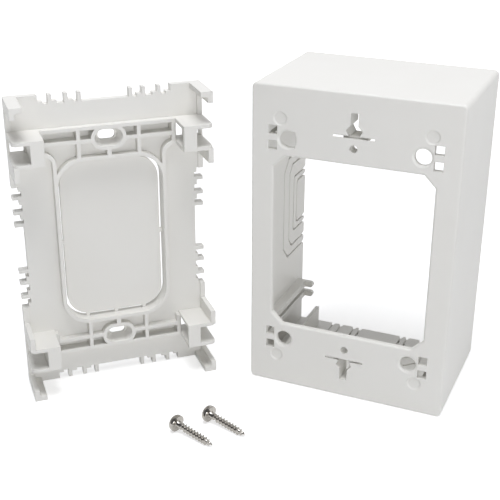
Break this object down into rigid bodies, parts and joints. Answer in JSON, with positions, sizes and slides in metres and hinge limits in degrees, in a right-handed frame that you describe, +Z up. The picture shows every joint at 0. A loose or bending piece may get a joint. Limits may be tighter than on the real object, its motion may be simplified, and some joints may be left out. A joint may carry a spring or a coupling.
{
  "type": "surface-mount junction box",
  "caption": "White plastic surface-mount junction box for one wiring device, shown taken apart: deep cover, mounting base with channel towers and breakouts, and its screws.",
  "frame": {"origin": "middle of the cover's bottom end, on the surface that the pieces stand on", "axes": "+Z up, -Y out of the cover's front, +X to the right as seen from the front; the base stands to the left, turned 43 degrees about Z to face between -Y and +X"},
  "size_m": [0.1631, 0.1091, 0.125],
  "materials": {
    "white_plastic": "smooth white moulded plastic, low sheen",
    "plated_steel": "bright nickel or zinc plating"
  },
  "bodies": {
    "root": {"box_cover": "white_plastic", "mounting_base": "white_plastic", "mounting_screws": "plated_steel"}
  },
  "joints": []
}
